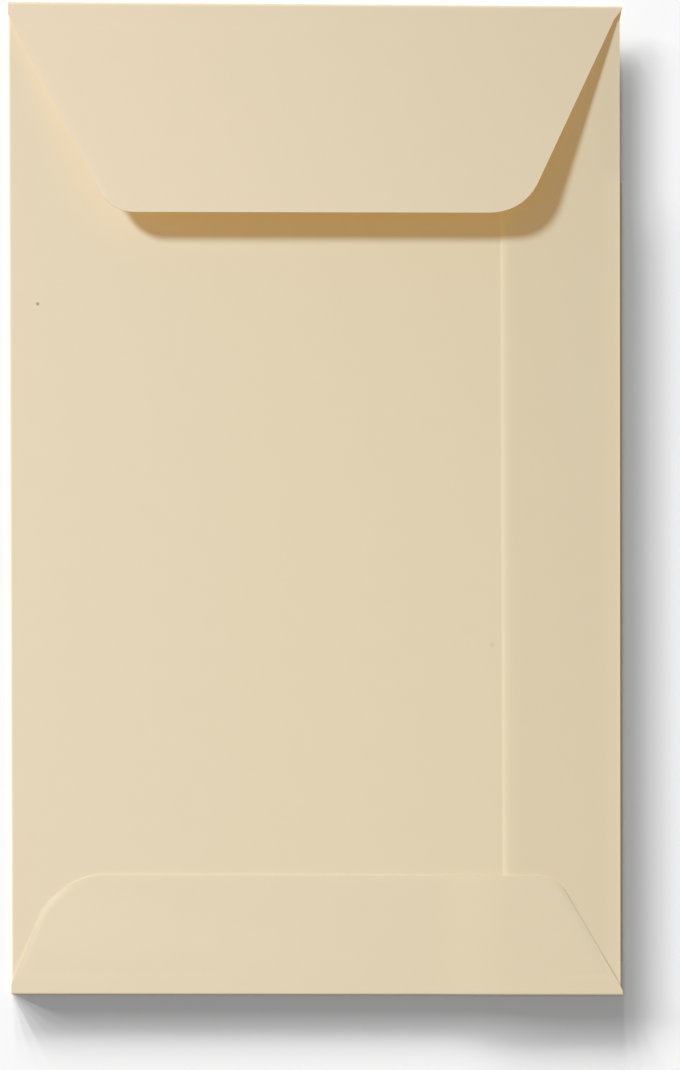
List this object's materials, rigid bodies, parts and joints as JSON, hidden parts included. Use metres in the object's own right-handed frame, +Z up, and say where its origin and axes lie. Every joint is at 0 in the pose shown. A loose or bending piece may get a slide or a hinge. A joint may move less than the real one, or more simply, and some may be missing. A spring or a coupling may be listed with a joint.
{
  "type": "envelope",
  "caption": "Small pocket envelope of folded cream paper with a glued side seam, a glued bottom flap and a hinged closing flap.",
  "frame": {"origin": "on the table, under the middle of the folded envelope", "axes": "+Y from the bottom fold to the flap fold, +X to the right seen with the flap side up, +Z up from the table"},
  "size_m": [0.065, 0.105, 0.0039],
  "materials": {
    "cream_paper": "uncoated wove paper, matte",
    "seam_glue": "dried adhesive film, between two layers of paper",
    "flap_gum": "dried remoistenable gum, slightly glossy"
  },
  "bodies": {
    "pocket": {"front_panel": "cream_paper", "left_fold": "cream_paper", "back_panel": "cream_paper", "right_fold": "cream_paper", "side_flap": "cream_paper", "side_seam_glue": "seam_glue", "bottom_fold": "cream_paper", "bottom_flap": "cream_paper", "bottom_seam_glue": "seam_glue", "flap_crease": "cream_paper"},
    "flap": {"closing_flap": "cream_paper", "gum_strip": "flap_gum"}
  },
  "joints": [
    {"name": "flap_hinge", "type": "hinge", "parent": "pocket", "child": "flap", "pos_m": [0, 0.05211, 0.00039], "axis": [-1, 0, 0], "range_deg": [-8, 172], "stiffness_Nm_per_rad": 0.002, "springref_deg": 0.4}
  ]
}
